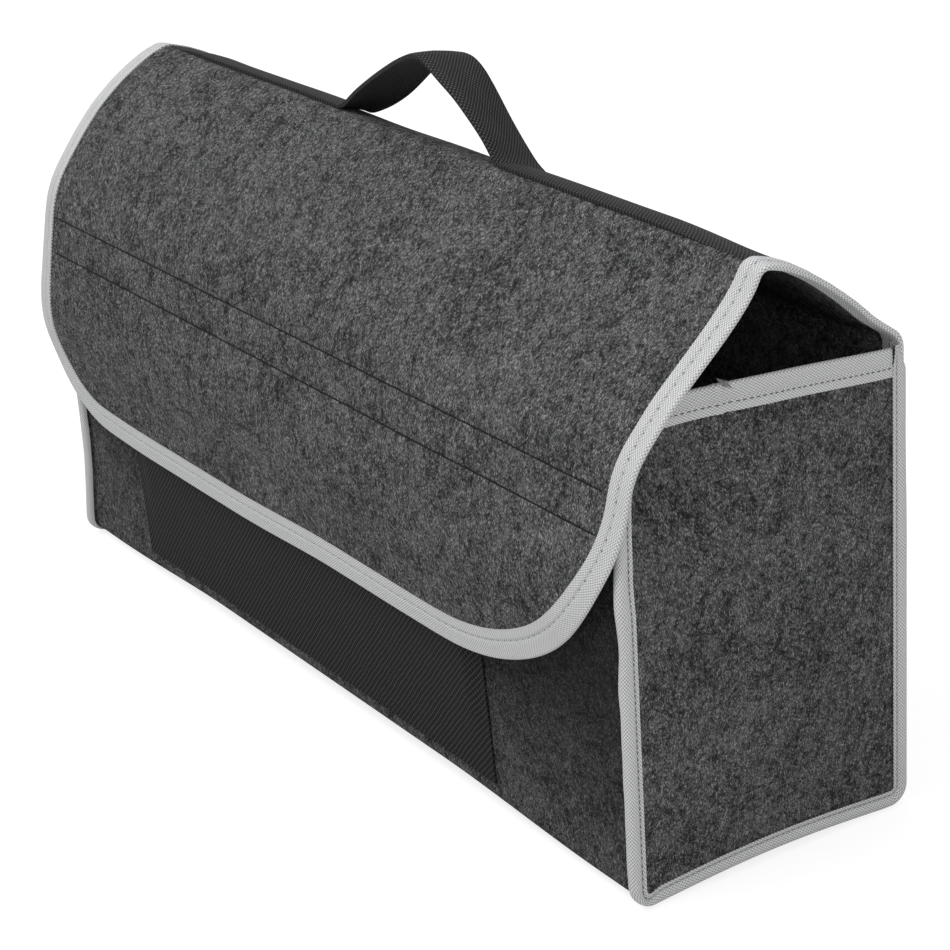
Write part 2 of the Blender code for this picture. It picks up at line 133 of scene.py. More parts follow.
# How finely the pieces are cut: steps along them, and columns or rows across
LID_FELT_STEP = 0.005
LID_TAPE_STEP = 0.004
BOX_STEP = 0.005
PANEL_STEP = 0.004
SEAM_STEP = 0.003
CORNER_ANGLES = np.linspace(0, math.pi / 2, 23)[:-1]
LID_COLUMNS = 104
HEM_COLUMNS = 80
BOX_COLUMNS = 100
TAPE_ROWS = 60
POCKET_ROWS, POCKET_COLUMNS = 40, 80
WEBBING_SHARES = np.linspace(1, 0, 18)
SEWN_SHARES = np.linspace(0, 1, 45)[:-1]

# How far the lid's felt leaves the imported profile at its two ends, as (along, off) in mm
LEFT_SWELL = ((0, 0), (12, -1.0), (25, -2.0), (45, -2.2), (60, -1.5), (76, -1.2), (86, -1.6),
              (90, 1.4), (96, 4.4), (106, 7.8), (117, 10.6), (133, 12.9), (148, 12.7),
              (165, 11.2), (187, 8.0), (206, 6.4), (234, 3.8), (264, 1.0), (292, 0))
RIGHT_SWELL = ((0, 0), (12, -0.6), (25, -0.6), (42, -0.2), (58, 1.0), (70, 1.7), (78, 1.6),
               (84, 1.1), (88, -0.2), (93, -1.6), (100, -2.4), (110, -2.3), (120, -1.6),
               (133, -0.3), (145, 0.8), (152, 1.3), (165, 1.0), (182, 0.8), (197, 0.2),
               (225, 0.7), (250, 0.3), (264, 0), (292, 0))
SWELL_PAD = 30
SWELL_COUNT = 270
SWELL_BLUR = 5
RIGHT_SWELL_EASE = 1.6

# The lid's hem sinks between its ends, and the lid flares out over the rear seams
HEM_DROP = 0.0026
HEM_DROP_REACH = 0.09
HEM_DROP_FROM_LEFT = (-0.235, -0.145)
HEM_DROP_FROM_RIGHT = (0.03, -0.06)
REAR_FLARE = 0.0030
FLARE_SIDE = (0.222, 0.244)
FLARE_START = (-0.012, -0.006)
FLARE_LENGTH = 0.024
CALM_LENGTH = 0.02
HINGE_LAP = 0.012

# The box: its front base corners sag, its bottom seams bow up and its left front corner leans
BASE_SAG = 0.0036
SAG_SIDE = (0.10, 0.22)
SAG_HEIGHT = 0.03
SAG_FRONT = (-0.0675, -0.0595)
SAG_REACH = 0.0055
BASE_BOW = 0.0028
BOW_SPAN = 0.88 * DEPTH
BOW_SIDE = (0.19, 0.24)
BOW_HEIGHT = (0.01, 0.06)
LEFT_LEAN = 0.0085
LEAN_HEIGHT = (-0.010, 0.060)
LEAN_FRONT = (0.02, -0.03)
LEAN_SIDE = (0.2, 0.245)

# The side panels bow in, and the upper front corners are tucked in under the flap
SIDE_BOW_IN = 0.0055
SIDE_BOW_HEIGHT = (0.06, 0.20)
SIDE_BOW_POWER = 1.5
TOP_LIFT_PLACES = (-0.03, 0.06)
TOP_LIFTS = (0.0025, 0.0010)
TOP_LIFT_HEIGHT = (0.15, 0.205)
TUCK_IN = 0.0105
TUCK_FORWARD = 0.0042
TUCK_HEIGHT = (0.130, 0.192)
TUCK_FRONT = (0.012, -0.040)
TUCK_SIDE = (0.17, 0.245)
TUCK_SQUEEZE = 0.5

# The box felt's flange at a side seam, as (in from the flange, off, share of the thickness)
FLANGE_TIP = SEAM_TIP - 0.0004
FLANGE_MID_X = WIDTH / 2 - 0.0022
FLANGE_SECTION = ((0.0, FLANGE_TIP, 0.45), (0.0, 0.0030, 0.45), (0.0, 0.0018, 0.5),
                  (0.0006, 0.0006, 0.65), (0.0018, 0.0, 0.9), (0.004, 0.0, 1.0),
                  (0.008, 0.0, 1.0))

# A side panel's rows and columns, and how its rim is pressed by the seam
PANEL_RIM = np.array([0, 0.010, 0.020, 0.032, 0.045, 0.060])
PANEL_HEIGHT = 0.2
PANEL_RIM_REACH = (0.0055, 0.0085)
PANEL_RIM_OUT = 0.0007
PANEL_RIM_THINNER = 0.55

# The tape round a side seam as (x, off): a strip on the panel, a stitched groove, then a pipe
SEAM_SECTION = ((0.25075, -0.0019), (0.2509, -0.0012), (0.2508, -0.0006), (0.2504, -0.0001),
                (0.2507, 0.0006), (0.25085, 0.0014), (0.25085, 0.0030), (0.2507, 0.0042),
                (0.2502, 0.0050), (0.2493, 0.00548), (0.2484, 0.00555), (0.2474, 0.0053),
                (0.2466, 0.0047), (0.2461, 0.0038), (0.24595, 0.0028))
SEAM_PUFF = 0.0006
SEAM_PUFF_LENGTH = 0.018
SEAM_PUFF_MIDDLE = 0.4
SEAM_PUFF_OFF = (0.003, 0.006)
SEAM_PUFF_OUT = (0.0008, 0.0018)
SEAM_ROUND_OUT = 0.0006
SEAM_ROUND_OFF = (0.0004, 0.0028)
SEAM_ROUND_HEIGHT = (0.13, 0.17)
SEAM_OVERRUN = 0.002
SEAM_CLOSING = 0.70
SEAM_CLOSING_PLACE = (-0.010, 0.001)

# The tapes folded over an edge: how deep their stitch line lies, and the dip that it makes
LID_STITCH_DEPTH = 0.0087
TOP_STITCH_DEPTH = 0.0065
STITCH_DIP = 0.0005
STITCH_DIP_HALF = 0.0012
LID_TAPE_START = -0.009
LID_TAPE_NARROWER = 0.0026
LID_TAPE_NARROWS = (-0.11, -0.03)
TOP_TAPE_FORWARD = 0.0019
TOP_TAPE_SHORTER = 0.0006
TOP_TAPE_SINK = 0.6
# The gathers in a side top tape as (y, spread, rise)
PUCKERS = ((-0.0125, 0.0011, 0.0010), (-0.0095, 0.0014, -0.0007))
FOLD_TURNS = [math.radians(angle) for angle in range(90, -91, -15)]

# The flap's two stitch rows
FLAP_STITCH_HEIGHTS = (0.1763, 0.1592)
FLAP_STITCH_HALF = 0.2375
FLAP_STITCH = (0.0027, 0.0009, 0.0007)
STITCH_PITCH = 0.0033
GROOVE = 0.0009
GROOVE_HALF_WIDTH = 0.0011
GROOVE_END = (0.231, 0.237)
STITCH_SINK = 0.6 * GROOVE

# The net's skew at heights above the base
POCKET_SHEAR = 0.0065
SHEAR_HEIGHT = 0.075
SHEAR_FADE = (0.085, 0.115)
POCKET_SEWN = 0.012

# The webbing's lap over the ridge, and where it sinks to lie under the lid's tape
WEBBING_LAP = 0.0028
WEBBING_END_LAP = 0.005
WEBBING_SUNK = 0.0007
WEBBING_SINKS_LEFT = (0.212, 0.230)
WEBBING_SINKS_RIGHT = (0.165, 0.230)
# The handle's front and rear edges as (x, rise) in mm at matching places from left to right
HANDLE_FRONT = ((-70, 0), (-64, 1.6), (-53, 10.0), (-40, 18.0), (-27, 25.2), (-13, 32.2),
                (-2, 36.6), (6.4, 37.6), (13.4, 34.8), (21, 30.6), (34.7, 24.4), (47.7, 16.0),
                (56.5, 9.5), (63, 2.5), (67, 0))
HANDLE_REAR = ((-80, 0), (-75, 1.0), (-59, 7.5), (-43, 16.0), (-29, 25.6), (-17, 34.6),
               (-5, 41.4), (6, 43.4), (15, 42.6), (23, 38.4), (31.5, 30.2), (41.5, 19.5),
               (51.5, 10.5), (60.5, 3.2), (67.5, 0))
HANDLE_CREASE = 0.0014
CREASE_MIDDLE = 0.45
CREASE_SPREAD = 0.16
CREASE_START = (0.012, 0.032)
CREASE_RISE = 0.02

# Camera of the photograph
CAMERA_PLACE = (1.06070, -0.64285 + SHIFT_Y, 0.61472)
CAMERA_RIGHT = (0.550594, 0.832688, -0.058960)
CAMERA_UP = (-0.294379, 0.259772, 0.919706)
CAMERA_AHEAD = (-0.781145, 0.489028, -0.388155)
CAMERA_LENS = 106.9
CAMERA_SENSOR = 36

# Studio: area lights as (name, place, size, power), the floor and the world
LIGHT_TARGET = (0.0, 0.0, 0.12)
LIGHTS = (("key", (-0.4, -1.35, 2.3), (1.5, 1.2), 40),
          ("fill", (2.2, -0.5, 1.3), (1.4, 1.4), 15),
          ("top", (0.0, 0.4, 2.4), (1.8, 1.4), 14))
FLOOR_SIZE = 16
FLOOR_Z = -0.0005
FLOOR_BOUNCE = 0.80
FLOOR_SEEN = 0.30
FLOOR_GLOW = 0.80
WORLD_LIGHT = 0.40

# Looks, with colours as linear tones
BLACK = (0.004, 0.004, 0.004)
FELT_TONES = (0.013, 0.0135, 0.014), (0.088, 0.089, 0.092), (0.35, 0.35, 0.355)
# Blotches as (number per metre across and along, turn, roughness, distortion, share)
FELT_BLOTCHES = ((130, 90, 0, 0.6, 0.0, 0.20), (420, 300, 20, 0.7, 0.3, 0.34),
                 (22, 26, 0, 0.5, 0.0, 0.10), (1500, 800, -14, 0.8, 0.2, 0.46))
# Fibres as (number per metre across and along, turn)
FELT_FIBRES = ((2300, 520, -30), (2100, 480, -8), (2400, 560, 18), (2300, 640, 60))
# Painted shade on the front wall under the flap: how dark, where along the cloth and where across
# it
FRONT_PAINTED_SHADE_TONE = 0.25
FRONT_SHADE_FADE = (1.12, 1.25)
FRONT_SHADE_SIDE_FADE = (-0.24, -0.13)
FRONT_SHADE_SIDE_SHARE = 0.4
BOX_CLOTH_SHIFT = 1.0
SIDE_CLOTH_SHIFT = 3.0
TAPE_TONES = (0.27, 0.275, 0.28), (0.74, 0.74, 0.75)
TAPE_STITCH_TONE = (0.06, 0.06, 0.06)
TAPE_RIB = 0.0017
TAPE_ROW = 0.00124
WEB_TONES = (0.004, 0.004, 0.0045), (0.085, 0.086, 0.090)
WEB_WARP = 0.0018
WEB_WEFT = 0.0022
NET_TONES = (0.0018, 0.0018, 0.0018), (0.042, 0.042, 0.043)
NET_THREAD = 0.0021
NET_THREADS = ((45, 1.0), (-45, 0.7))


class SheetPath:
    """A polyline with rounded corners in the YZ plane, read by length along it and off it."""

    def __init__(self, corners, arc_step=math.radians(4)):
        points = [np.array(corners[0][:2])]
        arcs = []
        for before, corner, after in zip(corners, corners[1:], corners[2:]):
            places = [np.array(place[:2]) for place in (before, corner, after)]
            arc = fillet(*places, corner[2], arc_step)
            arcs.append((len(points), len(points) + len(arc) - 1))
            points.extend(arc)
        points.append(np.array(corners[-1][:2]))
        self.points = np.array(points)
        steps = np.linalg.norm(np.diff(self.points, axis=0), axis=1)
        self.lengths = np.concatenate([[0.0], np.cumsum(steps)])
        self.arcs = [(self.lengths[first], self.lengths[last]) for first, last in arcs]
        runs = np.diff(self.points, axis=0) / steps[:, None]
        turned = np.column_stack([runs[:, 1], -runs[:, 0]])
        normals = np.vstack([turned[:1], turned[:-1] + turned[1:], turned[-1:]])
        self.normals = normals / np.linalg.norm(normals, axis=1)[:, None]

    @property
    def length(self):
        return self.lengths[-1]

    def normal(self, along):
        normal = np.array([np.interp(along, self.lengths, self.normals[:, axis])
                           for axis in (0, 1)])
        return normal / np.linalg.norm(normal)

    def at(self, along, off=0.0):
        """The point (y, z) at a length along the path, which runs straight on past its ends."""
        place = [np.interp(along, self.lengths, self.points[:, axis]) for axis in (0, 1)]
        normal = self.normal(along)
        beyond = along - np.clip(along, 0.0, self.length)
        return place + normal * off + np.array([-normal[1], normal[0]]) * beyond

    def at_height(self, height, after=0.0):
        """The length along the path, beyond after, at which it comes down to a height."""
        for first, second, start, end in zip(self.points, self.points[1:],
                                             self.lengths, self.lengths[1:]):
            if end > after and first[1] >= height > second[1]:
                return start + (end - start) * (first[1] - height) / (first[1] - second[1])
        return self.length

    def stations(self, start, end, step, extra=()):
        """Lengths from start to end that catch every corner, at most a step apart."""
        inner = [mark for mark in [*self.lengths, *extra] if start < mark < end]
        marks = sorted([start, end] + inner)
        kept = [marks[0]]
        for mark in marks[1:]:
            if mark - kept[-1] < GAP:
                continue
            pieces = max(1, math.ceil((mark - kept[-1]) / step))
            kept += list(np.linspace(kept[-1], mark, pieces + 1)[1:])
        kept[-1] = end
        return kept


def fillet(before, corner, after, radius, arc_step):
    """Points of the arc that rounds a corner."""
    back = (before - corner) / np.linalg.norm(before - corner)
    ahead = (after - corner) / np.linalg.norm(after - corner)
    half = math.acos(np.clip(back @ ahead, -1, 1)) / 2
    centre = corner + (back + ahead) / np.linalg.norm(back + ahead) * radius / math.sin(half)
    start = corner + back * radius / math.tan(half) - centre
    turn = math.copysign(math.pi - 2 * half, ahead[1] * -back[0] - ahead[0] * -back[1])
    count = max(2, math.ceil(abs(turn) / arc_step))
    return [centre + [start[0] * math.cos(angle) - start[1] * math.sin(angle),
                      start[0] * math.sin(angle) + start[1] * math.cos(angle)]
            for angle in np.linspace(0, turn, count + 1)]


def inner_corner(before, corner, after, distance):
    """The corner of two lines that both move inwards."""
    first = (corner - before) / np.linalg.norm(corner - before)
    second = (after - corner) / np.linalg.norm(after - corner)
    inward = np.array([-first[1] - second[1], first[0] + second[0]])
    inward /= np.linalg.norm(inward)
    return corner + inward * distance / (inward @ np.array([-first[1], first[0]]))


def raised(point):
    """A profile point (y, height above the base) as (y, z)."""
    return (point[0], BASE_Z + point[1])


def make_lid_path():
    """The middle of the lid's felt, from the hinge to the hem."""
    return SheetPath([
        (BACK_MID_Y, HINGE_Z), (BACK_MID_Y, HINGE_Z + HINGE_RISE, HINGE_RADIUS),
        (*raised(REAR_SLOPE), REAR_SLOPE_RADIUS), (*raised(RIDGE), RIDGE_RADIUS),
        (*raised(SHOULDER), SHOULDER_RADIUS), (*raised(BELLY), BELLY_RADIUS), raised(HEM),
    ])


def make_wall_path():
    """The middle of the box's felt: the front down from its top edge, the base, the back."""
    ridge, shoulder, belly = (np.array(raised(point)) for point in (RIDGE, SHOULDER, BELLY))
    inset = EDGE_REACH + LID_CLEARANCE + TAPE_REACH + TAPE_CROWN + SEAM_TIP
    wall_shoulder = inner_corner(ridge, shoulder, belly, inset)
    upward = (ridge - shoulder) / np.linalg.norm(ridge - shoulder)
    downward = (belly - shoulder) / np.linalg.norm(belly - shoulder)
    bend = wall_shoulder + downward * (-BACK_MID_Y - wall_shoulder[0]) / downward[0]
    base = BASE_Z + FELT / 2
    return SheetPath([
        tuple(wall_shoulder + upward * FRONT_TOP_LENGTH),
        (*wall_shoulder, FRONT_SHOULDER_RADIUS), (*bend, FRONT_BEND_RADIUS),
        (-BACK_MID_Y, base, BASE_FRONT_RADIUS), (BACK_MID_Y, base, BASE_REAR_RADIUS),
        (BACK_MID_Y, HINGE_Z),
    ])


LID = make_lid_path()
WALL = make_wall_path()
RIDGE_START, RIDGE_END = LID.arcs[2]
STITCH_LINES = [LID.at_height(BASE_Z + height, RIDGE_END) for height in FLAP_STITCH_HEIGHTS]
LID_END = LID.length + EDGE_GROWTH
LID_HALF = LID_HALF_WIDTH + EDGE_GROWTH


def ramp(value, start, end):
    """0 up to the start, 1 from the end on and smooth between; start may be the larger."""
    share = min(1.0, max(0.0, (value - start) / (end - start)))
    return share * share * (3 - 2 * share)


def swell_table(knots):
    """The swell at every millimetre along the lid, in metres, with softened corners."""
    places, swells = np.array(knots).T
    table = np.interp(np.arange(-SWELL_PAD, SWELL_COUNT + 2 * SWELL_PAD), places, swells)
    weights = np.hanning(2 * SWELL_BLUR + 3)[1:-1]
    softened = np.convolve(table, weights / weights.sum(), "same")
    return softened[SWELL_PAD:SWELL_PAD + SWELL_COUNT] / 1000


SWELLS = swell_table(LEFT_SWELL), swell_table(RIGHT_SWELL)


def ripple(x, along, seed):
    place = Vector((x / RIPPLE_LENGTH, along / RIPPLE_LENGTH, seed))
    return FELT_RIPPLE * noise.noise(place)


def lid_swell(x, along):
    """The lid's fullness and sag, its flare onto the rear seams and a slight ripple."""
    left, right = (np.interp(along * 1000, np.arange(len(table)), table) for table in SWELLS)
    share = min(1.0, max(0.0, 0.5 + x / WIDTH))
    flare = REAR_FLARE * ramp(abs(x), *FLARE_SIDE) * (1 - ramp(along, 0.0, FLARE_LENGTH))
    flare *= ramp(along, *FLARE_START)
    waves = ripple(x, along, LID_SEED) * ramp(along, 0.0, CALM_LENGTH)
    return left * (1 - share) + right * share ** RIGHT_SWELL_EASE + flare + waves


def on_lid(x, along, off=0.0):
    """A place on the softened lid."""
    drop = HEM_DROP * ramp(x, *HEM_DROP_FROM_RIGHT) * ramp(x, *HEM_DROP_FROM_LEFT)
    along += drop * ramp(along, LID.length - HEM_DROP_REACH, LID.length)
    y, z = LID.at(along, off + lid_swell(x, along))
    return Vector((x, y + SHIFT_Y, z))


def tuck(x, y, z):
    """How far a place in the box's upper front corners is pushed in under the flap, 0 to 1."""
    return ramp(z, *TUCK_HEIGHT) * ramp(y, *TUCK_FRONT) * ramp(abs(x), *TUCK_SIDE)


def base_bow(x, y, z):
    """How far a side's bottom seam is drawn up between its two corners."""
    across = min(1.0, max(0.0, y / BOW_SPAN + 0.5))
    share = ramp(abs(x), *BOW_SIDE) * (1 - ramp(z, *BOW_HEIGHT))
    return BASE_BOW * math.sin(math.pi * across) * share


def settled(x, y, z):
    """A place on the box after its tuck, its lean and the bow of its bottom seams."""
    share = tuck(x, y, z)
    lean = LEFT_LEAN * ramp(z, *LEAN_HEIGHT) * ramp(y, *LEAN_FRONT) * ramp(-x, *LEAN_SIDE)
    sideways = lean * (1 - share) - math.copysign(TUCK_IN * share, x)
    return Vector((x + sideways, y - TUCK_FORWARD * share + SHIFT_Y, z + base_bow(x, y, z)))


def on_wall(x, along, off=0.0):
    """A place on the softened front, base and back."""
    y, z = WALL.at(along, off)
    if off > 0:
        y, z = WALL.at(along, off * (1 - TUCK_SQUEEZE * tuck(x, y, z)))
    sag = ramp(abs(x), *SAG_SIDE) * (1 - ramp(z - BASE_Z, 0.0, SAG_HEIGHT))
    sag *= (1 - ramp(y, *SAG_FRONT)) * min(1.0, max(0.0, 1 - off / SAG_REACH))
    return settled(x, y, z - BASE_SAG * sag)


def side_bow(y, z):
    """How far a side panel's upper middle is pushed in."""
    across = y / DEPTH + 0.5
    if not 0 < across < 1:
        return 0.0
    rise = ramp(z - BASE_Z, *SIDE_BOW_HEIGHT)
    return SIDE_BOW_IN * math.sin(math.pi * across) ** SIDE_BOW_POWER * rise


def on_side(side, y, z, x=PANEL_X):
    """A place on a side panel, bowed in, lifted near its top and tucked under the flap."""
    place = settled(side * (x - side_bow(y, z)), y, z)
    lift = np.interp(y, TOP_LIFT_PLACES, TOP_LIFTS) * ramp(z, *TOP_LIFT_HEIGHT)
    place.z += lift * (1 - tuck(WIDTH / 2, y, z))
    return place


def pinch(depth):
    """The felt's share of its thickness at a distance from a bound edge."""
    return PINCHED + (1 - PINCHED) * ramp(depth, 0.0, PINCH_REACH)


def grooves(x, along):
    """How deep the flap's two stitch rows pull the felt in, up to the tape."""
    depth = 0.0
    for line in STITCH_LINES:
        depth += GROOVE * (1 - ramp(abs(along - line), 0.0, GROOVE_HALF_WIDTH))
    return depth * (1 - ramp(abs(x), *GROOVE_END))


def pucker(y):
    """Two small gathers where the side top tape was eased in."""
    return sum(rise * math.exp(-((y - place) / spread) ** 2) for place, spread, rise in PUCKERS)


def lid_side(along, corner):
    """The lid's half width and its edge's outward direction at a length along it."""
    width, height = corner[0] + EDGE_GROWTH, corner[1] + EDGE_GROWTH
    angle = math.asin(min(1.0, max(0.0, along - LID_END + height) / height))
    out = np.array([math.cos(angle) / width, math.sin(angle) / height])
    out /= np.linalg.norm(out)
    return LID_HALF - width * (1 - math.cos(angle)), out[0], out[1]


def lid_stations(start, step):
    """Lengths along the lid that catch its grooves, its rim and its two flap corners."""
    shifts = (-GROOVE_HALF_WIDTH, -0.0006, 0.0, 0.0006, GROOVE_HALF_WIDTH)
    extra = [line + shift for line in STITCH_LINES for shift in shifts]
    extra += [LID_END - depth for depth in RIM[1:]]
    for _, height in (FLAP_CORNER_LEFT, FLAP_CORNER_RIGHT):
        height += EDGE_GROWTH
        extra += [LID_END - height + height * math.sin(angle)
                  for angle in CORNER_ANGLES]
    return LID.stations(start, LID_END, step, extra)


def run_lengths(points):
    """The length run at each of a row of points."""
    steps = [math.dist(first, second) for first, second in zip(points, points[1:])]
    return np.concatenate([[0.0], np.cumsum(steps)])


def add_object(name, data):
    obj = bpy.data.objects.new(name, data)
    bpy.context.scene.collection.objects.link(obj)
    return obj


def sheet_piece(name, rows, uvs, thickness, material, sharp=35, fullness=None):
    """A closed sheet round rows of middle points; fullness gives shares of its thickness."""
    form = bmesh.new()
    layer = form.loops.layers.uv.new("cloth")
    grid = [[form.verts.new(point) for point in row] for row in rows]
    for i in range(len(rows) - 1):
        for j in range(len(rows[0]) - 1):
            corners = ((i, j), (i, j + 1), (i + 1, j + 1), (i + 1, j))
            face = form.faces.new([grid[a][b] for a, b in corners])
            for loop, (a, b) in zip(face.loops, corners):
                loop[layer].uv = uvs[a][b]
    mesh = bpy.data.meshes.new(name)
    form.to_mesh(mesh)
    form.free()
    mesh.shade_smooth()
    obj = add_object(name, mesh)
    solidify = obj.modifiers.new("thickness", "SOLIDIFY")
    solidify.thickness = thickness
    solidify.offset = 0.0
    solidify.use_even_offset = fullness is None
    if fullness is not None:
        group = obj.vertex_groups.new(name="fullness")
        for number, share in enumerate(share for row in fullness for share in row):
            group.add([number], share, "REPLACE")
        solidify.vertex_group = group.name
    split = obj.modifiers.new("edges", "EDGE_SPLIT")
    split.split_angle = math.radians(sharp)
    split.use_edge_sharp = False
    mesh.materials.append(material)
    return obj


def tape_piece(name, rows, uvs, material, node, thickness=THIN_TAPE):
    """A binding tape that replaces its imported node."""
    piece = sheet_piece(name, rows, uvs, thickness, material, 50)
    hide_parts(node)
    return piece


class Nodes:
    """Short calls for building a material's node tree."""

    def __init__(self, name, colour, roughness, specular):
        self.material = bpy.data.materials.new(name)
        self.material.use_nodes = True
        self.tree = self.material.node_tree
        self.shader = self.tree.nodes["Principled BSDF"]
        self.shader.inputs["Base Color"].default_value = (*colour, 1)
        self.shader.inputs["Roughness"].default_value = roughness
        self.shader.inputs["Specular IOR Level"].default_value = specular

    def link(self, source, target):
        self.tree.links.new(source, target)

    def uv(self, across=1, along=1, turn=0.0):
        """The cloth's own coordinates, turned and then scaled to so many units per metre."""
        source = self.tree.nodes.new("ShaderNodeUVMap")
        source.uv_map = "cloth"
        turned = self.tree.nodes.new("ShaderNodeVectorRotate")
        turned.rotation_type = "Z_AXIS"
        turned.inputs["Angle"].default_value = math.radians(turn)
        scaled = self.tree.nodes.new("ShaderNodeVectorMath")
        scaled.operation = "MULTIPLY"
        scaled.inputs[1].default_value = (across, along, 1)
        self.link(source.outputs["UV"], turned.inputs["Vector"])
        self.link(turned.outputs["Vector"], scaled.inputs[0])
        return scaled.outputs["Vector"]

    def noise(self, vector, detail=2.0, roughness=0.5, distortion=0.0):
        node = self.tree.nodes.new("ShaderNodeTexNoise")
        node.inputs["Scale"].default_value = 1.0
        node.inputs["Detail"].default_value = detail
        node.inputs["Roughness"].default_value = roughness
        node.inputs["Distortion"].default_value = distortion
        self.link(vector, node.inputs["Vector"])
        return node.outputs["Fac"]

    def math(self, operation, *values):
        node = self.tree.nodes.new("ShaderNodeMath")
        node.operation = operation
        for socket, value in zip(node.inputs, values):
            if isinstance(value, (int, float)):
                socket.default_value = value
            else:
                self.link(value, socket)
        return node.outputs["Value"]

    def times(self, value, factor):
        return self.math("MULTIPLY", value, factor)

    def wave(self, value, pitch, wander):
        """A sine with a full wave per pitch, shifted by wander."""
        return self.math("SINE", self.math("ADD", self.times(value, 2 * math.pi / pitch), wander))

    def band(self, value, low, high):
        """0 below low, 1 above high and smooth between them."""
        node = self.tree.nodes.new("ShaderNodeMapRange")
        node.interpolation_type = "SMOOTHSTEP"
        node.inputs["From Min"].default_value = low
        node.inputs["From Max"].default_value = high
        self.link(value, node.inputs["Value"])
        return node.outputs["Result"]

    def outside(self, value, low, high):
        """1 below low, 0 above high and smooth between them."""
        return self.math("SUBTRACT", 1.0, self.band(value, low, high))

    def mix(self, share, first, second):
        node = self.tree.nodes.new("ShaderNodeMix")
        node.data_type = "RGBA"
        self.link(share, node.inputs["Factor"])
        for socket, value in ((node.inputs[6], first), (node.inputs[7], second)):
            if isinstance(value, tuple):
                socket.default_value = (*value, 1)
            else:
                self.link(value, socket)
        return node.outputs[2]

    def split(self, vector):
        node = self.tree.nodes.new("ShaderNodeSeparateXYZ")
        self.link(vector, node.inputs[0])
        return node.outputs[0], node.outputs[1]

    def finish(self, colour, height, distance, strength=1.0):
        """The material with its colour and the relief of a height."""
        self.link(colour, self.shader.inputs["Base Color"])
        node = self.tree.nodes.new("ShaderNodeBump")
        node.inputs["Distance"].default_value = distance
        node.inputs["Strength"].default_value = strength
        self.link(height, node.inputs["Height"])
        self.link(node.outputs["Normal"], self.shader.inputs["Normal"])
        return self.material


def felt_material(name, dark, middle, light, painted_shade_tone=1.0):
    """Needle felt: pale short fibres over dark blotches; the box's front wall gets painted shade
    under the flap.
    """
    felt = Nodes(name, middle, 0.95, 0.1)
    mixed = None
    for across, along, turn, roughness, distortion, share in FELT_BLOTCHES:
        blotch = felt.noise(felt.uv(across, along, turn), 2.0, roughness, distortion)
        blotch = felt.times(blotch, share)
        mixed = blotch if mixed is None else felt.math("ADD", mixed, blotch)
    base = felt.mix(felt.band(mixed, 0.455, 0.655), dark, middle)
    fibres = None
    for across, along, turn in FELT_FIBRES:
        fine = felt.noise(felt.uv(across, along, turn), 1.0, 0.5, 0.4)
        shown = felt.band(fine, 0.58, 0.72)
        fibres = shown if fibres is None else felt.math("MAXIMUM", fibres, shown)
    colour = felt.mix(felt.times(fibres, felt.band(mixed, 0.44, 0.63)), base, light)
    # Painted shade: the front wall is darkened toward black, most just under the flap and less at
    # its left end; front and sideways carry this painted shade's mask.
    if painted_shade_tone < 1:
        across, run = felt.split(felt.uv())
        sideways = felt.math("MULTIPLY_ADD", felt.band(across, *FRONT_SHADE_SIDE_FADE),
                             1 - FRONT_SHADE_SIDE_SHARE, FRONT_SHADE_SIDE_SHARE)
        front = felt.times(felt.outside(run, *FRONT_SHADE_FADE), sideways)
        colour = felt.mix(felt.times(front, 1 - painted_shade_tone), colour, BLACK)
    return felt.finish(colour, felt.math("ADD", fibres, mixed), 0.00035, 0.8)


def tape_material(name, stitch_place, stitch_pitch, stitch_share):
    """Woven ribbon of small staggered bumps, with a row of sunk stitches along a line."""
    shade, light = TAPE_TONES
    tape = Nodes(name, light, 0.85, 0.2)
    along, across = tape.split(tape.uv())
    wander = tape.times(tape.noise(tape.uv(260, 260)), 1.6)
    staggered = tape.times(tape.wave(along, TAPE_RIB, wander), tape.wave(across, TAPE_ROW, wander))
    weave = tape.band(staggered, -0.55, 0.5)
    yarn = tape.noise(tape.uv(900, 900), 1.0)
    cloth = tape.mix(tape.math("ADD", tape.times(weave, 0.8), tape.times(yarn, 0.2)), shade, light)
    off_line = tape.math("ABSOLUTE", tape.math("SUBTRACT", across, stitch_place))
    beat = tape.math("FRACT", tape.math("DIVIDE", along, stitch_pitch))
    off_beat = tape.math("ABSOLUTE", tape.math("SUBTRACT", beat, 0.5))
    hole = tape.times(tape.outside(off_line, 0.00012, 0.00038),
                      tape.outside(off_beat, stitch_share / 2, stitch_share / 2 + 0.06))
    groove = tape.band(off_line, 0.0002, 0.0011)
    height = tape.math("ADD", tape.times(weave, 0.5), groove)
    return tape.finish(tape.mix(hole, cloth, TAPE_STITCH_TONE), height, 0.0003)


def webbing_material(name):
    """Black basket-weave webbing: pale-edged dashes in staggered rows."""
    web = Nodes(name, (0.012, 0.012, 0.013), 0.6, 0.25)
    along, across = web.split(web.uv())
    wander = web.times(web.noise(web.uv(300, 300)), 1.2)
    staggered = web.times(web.wave(across, WEB_WARP, wander), web.wave(along, WEB_WEFT, wander))
    weave = web.band(staggered, 0.0, 0.75)
    return web.finish(web.mix(weave, *WEB_TONES), weave, 0.0005)


def net_material(name):
    """Black knitted net: fine diagonal threads over dark gaps."""
    net = Nodes(name, (0.006, 0.006, 0.006), 0.7, 0.12)
    wander = net.times(net.noise(net.uv(70, 70)), 5.0)
    lines = None
    for turn, share in NET_THREADS:
        _, over = net.split(net.uv(turn=turn))
        thread = net.times(net.band(net.wave(over, NET_THREAD, wander), 0.45, 0.95), share)
        lines = thread if lines is None else net.math("MAXIMUM", lines, thread)
    return net.finish(net.mix(lines, *NET_TONES), lines, 0.0004, 0.8)


def plain_cloth(name, dark, light, roughness):
    cloth = Nodes(name, light, roughness, 0.2)
    grain = cloth.noise(cloth.uv(900, 900))
    return cloth.finish(cloth.mix(grain, dark, light), grain, 0.0003, 0.7)


